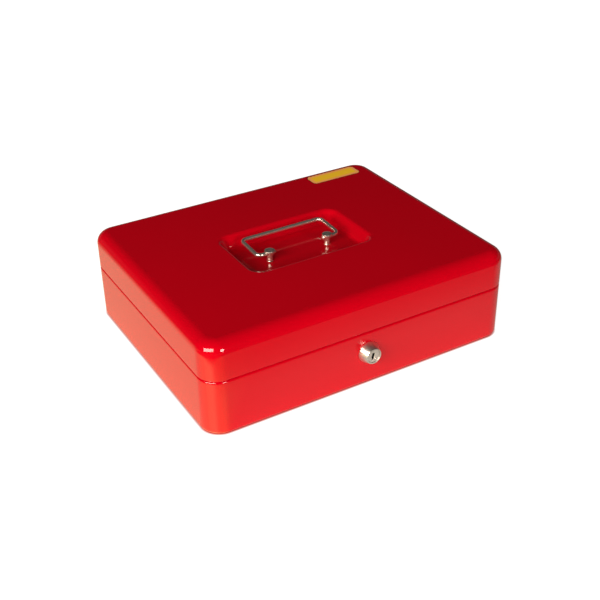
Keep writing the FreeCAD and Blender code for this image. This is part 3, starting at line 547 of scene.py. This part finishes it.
# Label on the lid

LABEL_AT, LABEL_SIZE, LABEL_TURN = (103.9, 99.95), (55.8, 18.5), 0.3
LABEL_THICK, LABEL_EDGE, LABEL_BORDER, LABEL_CORNER = 0.14, 0.5, 3.7, 4.6
LABEL_ROUND, LABEL_STEPS = 0.04, 8      # the film's cut edge, and the steps in a corner


def label_loop(inset, height):
    """One level of the film: a rounded rectangle laid on the lid, drawn in by an inset."""
    half_x, half_y = LABEL_SIZE[0] / 2 - LABEL_CORNER, LABEL_SIZE[1] / 2 - LABEL_CORNER
    turn = Matrix.Rotation(radians(LABEL_TURN), 3, "Z")
    loop = []
    for sign_x, sign_y, start in CORNERS:
        for i in range(LABEL_STEPS + 1):
            angle = radians(start + 90 * i / LABEL_STEPS)
            spot = Vector((sign_x * half_x + (LABEL_CORNER - inset) * cos(angle),
                           sign_y * half_y + (LABEL_CORNER - inset) * sin(angle), 0))
            spot = turn @ spot + Vector((*LABEL_AT, LID_TOP + height))
            # The film lies over the start of the lid's soft edge.
            beyond = max(0, spot.y - (BOX[1] - LID_EDGE))
            spot.z -= LID_EDGE - (LID_EDGE ** 2 - beyond ** 2) ** 0.5
            loop.append(spot)
    return loop


label_rows = [label_loop(inset, height) for inset, height in
              ((0, 0), (0, LABEL_THICK - LABEL_ROUND), (LABEL_ROUND, LABEL_THICK), (LABEL_EDGE, LABEL_THICK),
               (LABEL_BORDER, LABEL_THICK))]
ring = len(label_rows[0])
border_row = len(label_rows) - 2        # the last row of faces, inside the dark edge
panel_face = ring * (border_row + 1)
label_faces = bands(ring, border_row + 1)
label_faces += [tuple(range(panel_face, panel_face + ring)), tuple(reversed(range(ring)))]
label_mesh = new_mesh("label", [p for row in label_rows for p in row], label_faces)
for ink in (film_edge, film_border, film_panel):
    label_mesh.materials.append(ink)
for face in range(border_row * ring, panel_face):
    label_mesh.polygons[face].material_index = 1
label_mesh.polygons[panel_face].material_index = 2
piece("label_film", label_mesh, None, "lid", "red_coat")


# Studio, in metres: two soft lamps

NEAR_CORNER = Vector((-0.13, -0.11, 0.08))


def lamp(name, direction, distance, width, height, roll, power, colour):
    """A flat soft lamp that faces the box, placed from its near corner and rolled about its own axis."""
    light = bpy.data.lights.new(name, "AREA")
    light.shape, light.size, light.size_y, light.energy = "RECTANGLE", width, height, power
    light.color = paint(colour)[:3]
    made = bpy.data.objects.new(name, light)
    made.location = NEAR_CORNER + Vector(direction).normalized() * distance
    made.rotation_euler = made.location.to_track_quat("Z", "Y").to_euler()
    made.rotation_euler.rotate_axis("Z", radians(roll))
    scene.collection.objects.link(made)


lamp("left_strip", (-0.82, -0.405, 0.405), distance=1.8, width=1.55, height=0.78, roll=16, power=56,
     colour="#FFF4E4")
lamp("front_box", (0.11, -0.949, 0.29), distance=2.2, width=0.64, height=0.76, roll=-14, power=24.5,
     colour="#FFF8EE")


# White paper floor: white to the eye, with its own share of light in reflections and on the walls

FLOOR_HALF, FLOOR_Z = 6, -0.0003
# Colour of the paper in reflections, by bearing from the near corner (0 and 1 at the left, 0.25 in front).
PAPER_LIGHT = ((0.0, "#E6E1A2"), (0.045, "#F8F1AD"), (0.085, "#FFF9B4"), (0.115, "#F4EEAC"),
               (0.15, "#D4CD91"), (0.18, "#CCC589"), (0.26, "#C6C086"), (0.33, "#99957B"),
               (0.36, "#8A8678"), (0.45, "#908A80"), (0.6, "#7C776F"), (0.75, "#B2AA8A"),
               (0.885, "#B2AA8A"), (0.98, "#D6D299"))
BEARING_CENTRE = (-0.137, -0.1125)
# Runs of the paper's light: where each starts and ends, what it is there. Places are from the box's middle.
EYE_GLOW = dict(zip(RUN, (0.25, 0.9, 0.9, 1.0)))            # to the eye, by distance
LIT_END = dict(zip(RUN, (0.28, 0.292, 1.0, 0.06)))          # reflected, the end of the lit paper, by distance
RIGHT_REACH = (0.6, 1, 1)                                   # that distance counts less on the right
REAR_LIT = dict(zip(RUN, (-0.05, 0.2, 0.0, 1.0)))           # lit beyond that end at the rear right, by X + Y
SIDE_LIT = dict(zip(RUN, (0.0, 0.1, 0.0, 1.0)))             # and in the rear half, by Y
FADE_START = 0.3                                            # both fade from this distance by its square
FRONT_FALL = dict(zip(RUN, (-0.215, -0.165, 0.9, 2.0)))     # reflected less strongly in front, by Y
FOOT_SHADOW_RUN = dict(zip(RUN, (0.0166, 0.0191, 0.0, 1.0)))        # painted contact shadow: a dark line on the paper at the foot, by distance from its corner centres
NEAR_LIFT = dict(zip(RUN, (0.018, 0.13, 1.2, 0.1)))         # thrown back on the walls, by the same distance
WHITE = paint("#FFFFFF")
FOOT_SHADE, SEEN_PAPER = paint("#B0382E"), paint("#A0A0A0")     # to the eye, in the painted contact shadow at the foot and beyond it
SOFT_PAPER, THROWN_BACK = paint("#DCDCDC"), paint("#FFFAF0")    # in soft light

floor_mesh = bpy.data.meshes.new("floor")
floor_mesh.from_pydata([(x * FLOOR_HALF, y * FLOOR_HALF, FLOOR_Z) for x, y in SQUARE], [], [(0, 1, 2, 3)])
floor_material = bpy.data.materials.new("white_paper_sweep")
floor_material.use_nodes = True
tree = floor_material.node_tree
tree.nodes.clear()
ray = add(tree, "ShaderNodeLightPath").outputs
place = add(tree, "ShaderNodeTexCoord").outputs["Object"]
axes = add(tree, "ShaderNodeSeparateXYZ", {0: place}).outputs
distance = add(tree, "ShaderNodeVectorMath", {0: place}, operation="LENGTH").outputs["Value"]

from_corner = add(tree, "ShaderNodeMapping", {"Vector": place,
                                              "Location": (-BEARING_CENTRE[0], -BEARING_CENTRE[1], 0)})
bearing = add(tree, "ShaderNodeTexGradient", {"Vector": from_corner}, gradient_type="RADIAL")
bright = add(tree, "ShaderNodeValToRGB", {"Fac": bearing.outputs["Fac"]})
stops = bright.color_ramp.elements
while len(stops) < len(PAPER_LIGHT):
    stops.new(0.5)
for stop, (position, colour) in zip(stops, PAPER_LIGHT):
    stop.position = position
for stop, (position, colour) in zip(stops, PAPER_LIGHT):
    stop.color = paint(colour)

squeezed = add(tree, "ShaderNodeVectorMath", {0: place, 1: RIGHT_REACH}, operation="MULTIPLY")
squeezed = add(tree, "ShaderNodeVectorMath", {0: place, 1: squeezed}, operation="MINIMUM")
lopsided = add(tree, "ShaderNodeVectorMath", {0: squeezed}, operation="LENGTH").outputs["Value"]
lit = add(tree, "ShaderNodeMapRange", {"Value": lopsided, **LIT_END})
diagonal = add(tree, "ShaderNodeMath", {0: axes["X"], 1: axes["Y"]}, operation="ADD")
rear = add(tree, "ShaderNodeMapRange", {"Value": diagonal, **REAR_LIT})
side_lit = add(tree, "ShaderNodeMapRange", {"Value": axes["Y"], **SIDE_LIT})
rear = add(tree, "ShaderNodeMath", {0: rear, 1: side_lit}, operation="MAXIMUM")
fade = add(tree, "ShaderNodeMath", {0: distance, 1: FADE_START}, operation="DIVIDE")
fade = add(tree, "ShaderNodeMath", {0: fade, 1: -2.0}, operation="POWER")
fade = add(tree, "ShaderNodeMath", {0: fade, 1: 1.0}, operation="MINIMUM")
fading = add(tree, "ShaderNodeMath", {0: fade, 1: rear}, operation="MULTIPLY")
lit = add(tree, "ShaderNodeMath", {0: lit, 1: fading}, operation="MAXIMUM")
front = add(tree, "ShaderNodeMapRange", {"Value": axes["Y"], **FRONT_FALL})
mirrored = add(tree, "ShaderNodeMath", {0: lit, 1: front}, operation="MULTIPLY")
sheen = add(tree, "ShaderNodeEmission", {"Color": bright, "Strength": mirrored})

foot = ((BOX[0] - BOX[2]) * MM, (BOX[1] - BOX[2]) * MM, 0)      # centre of the foot's rounded corner
beside = add(tree, "ShaderNodeVectorMath", {0: place}, operation="ABSOLUTE")
beside = add(tree, "ShaderNodeVectorMath", {0: beside, 1: foot}, operation="SUBTRACT")
beside = add(tree, "ShaderNodeVectorMath", {0: beside, 1: (0, 0, 0)}, operation="MAXIMUM")
beside = add(tree, "ShaderNodeVectorMath", {0: beside}, operation="LENGTH").outputs["Value"]
# Painted contact shadow: close round the foot the paper is tinted dark and stops glowing.
painted_foot_shadow = add(tree, "ShaderNodeMapRange", {"Value": beside, **FOOT_SHADOW_RUN})
shadowed_paper = add(tree, "ShaderNodeMix", {"Factor": painted_foot_shadow, 6: FOOT_SHADE, 7: SEEN_PAPER}, data_type="RGBA")
pale = add(tree, "ShaderNodeBsdfDiffuse", {"Color": shadowed_paper.outputs[2]})
glow = add(tree, "ShaderNodeMapRange", {"Value": distance, **EYE_GLOW})
# The glow is held back inside the painted contact shadow.
glow = add(tree, "ShaderNodeMath", {0: glow, 1: painted_foot_shadow}, operation="MULTIPLY")
glow = add(tree, "ShaderNodeEmission", {"Color": WHITE, "Strength": glow})
shown = add(tree, "ShaderNodeAddShader", {0: pale, 1: glow})

paper = add(tree, "ShaderNodeBsdfDiffuse", {"Color": SOFT_PAPER})
lift = add(tree, "ShaderNodeMapRange", {"Value": beside, **NEAR_LIFT})
lift = add(tree, "ShaderNodeEmission", {"Color": THROWN_BACK, "Strength": lift})
bounce = add(tree, "ShaderNodeAddShader", {0: paper, 1: lift})


def by_ray(tree, ray, soft, mirror, eye):
    """One shader for soft light, another for reflections and a third for what the camera sees directly."""
    reflected = add(tree, "ShaderNodeMath", {0: ray["Is Glossy Ray"], 1: ray["Is Transmission Ray"]},
                    operation="MAXIMUM")
    unseen = add(tree, "ShaderNodeMixShader", {0: reflected, 1: soft, 2: mirror})
    return add(tree, "ShaderNodeMixShader", {0: ray["Is Camera Ray"], 1: unseen, 2: eye})


add(tree, "ShaderNodeOutputMaterial", {"Surface": by_ray(tree, ray, bounce, sheen, shown)})
floor_mesh.materials.append(floor_material)
floor = bpy.data.objects.new("floor", floor_mesh)
scene.collection.objects.link(floor)


# Room: white to the eye, a dim soft light that is stronger from behind, nearly dark in reflections

BAND_HEIGHT = dict(zip(RUN, (0.1, 0.34, 0.16, 0.0)))    # a low pale band reflected, by the direction's Z
BAND_BEARING = dict(zip(RUN, (0.1, 0.6, 0.0, 1.0)))     # only behind at the right, by its X + Y
ROOM_MIRROR = 0.008                                     # the rest of the room in reflections
ROOM_LIGHT = dict(zip(RUN, (-0.2, 0.7, 0.09, 0.33)))    # soft light, by the direction's Y

world = bpy.data.worlds.new("studio")
scene.world = world
world.use_nodes = True
tree = world.node_tree
tree.nodes.clear()
ray = add(tree, "ShaderNodeLightPath").outputs
way = add(tree, "ShaderNodeSeparateXYZ", {0: add(tree, "ShaderNodeTexCoord").outputs["Generated"]}).outputs
diagonal = add(tree, "ShaderNodeMath", {0: way["X"], 1: way["Y"]}, operation="ADD")
behind = add(tree, "ShaderNodeMapRange", {"Value": diagonal, **BAND_BEARING})
low = add(tree, "ShaderNodeMapRange", {"Value": way["Z"], **BAND_HEIGHT})
band = add(tree, "ShaderNodeMath", {0: low, 1: behind, 2: ROOM_MIRROR}, operation="MULTIPLY_ADD")
soft = add(tree, "ShaderNodeMapRange", {"Value": way["Y"], **ROOM_LIGHT})
room = add(tree, "ShaderNodeBackground", {"Color": WHITE, "Strength": soft})
around = add(tree, "ShaderNodeBackground", {"Color": WHITE, "Strength": band})
white = add(tree, "ShaderNodeBackground", {"Color": WHITE, "Strength": 1.0})
add(tree, "ShaderNodeOutputWorld", {"Surface": by_ray(tree, ray, room, around, white)})


# Camera, fitted to the box's outline

SENSOR, LENS = 36.0, 60.4
AZIMUTH, ELEVATION, ROLL = radians(-30.1416), radians(31.0694), radians(-0.9689)
CAMERA_PLACE = (-0.402727, -0.700489, 0.507582)
camera = bpy.data.objects.new("camera", bpy.data.cameras.new("camera"))
scene.collection.objects.link(camera)
scene.camera = camera
camera.data.sensor_width, camera.data.lens = SENSOR, LENS
back = Vector((sin(AZIMUTH) * cos(ELEVATION), -cos(AZIMUTH) * cos(ELEVATION), sin(ELEVATION)))
right = Vector((cos(AZIMUTH), sin(AZIMUTH), 0))
up = back.cross(right)
across = cos(ROLL) * right + sin(ROLL) * up
upward = -sin(ROLL) * right + cos(ROLL) * up
camera.matrix_world = Matrix.Translation(CAMERA_PLACE) @ Matrix((across, upward, back)).transposed().to_4x4()
scene.view_settings.view_transform = "Standard"
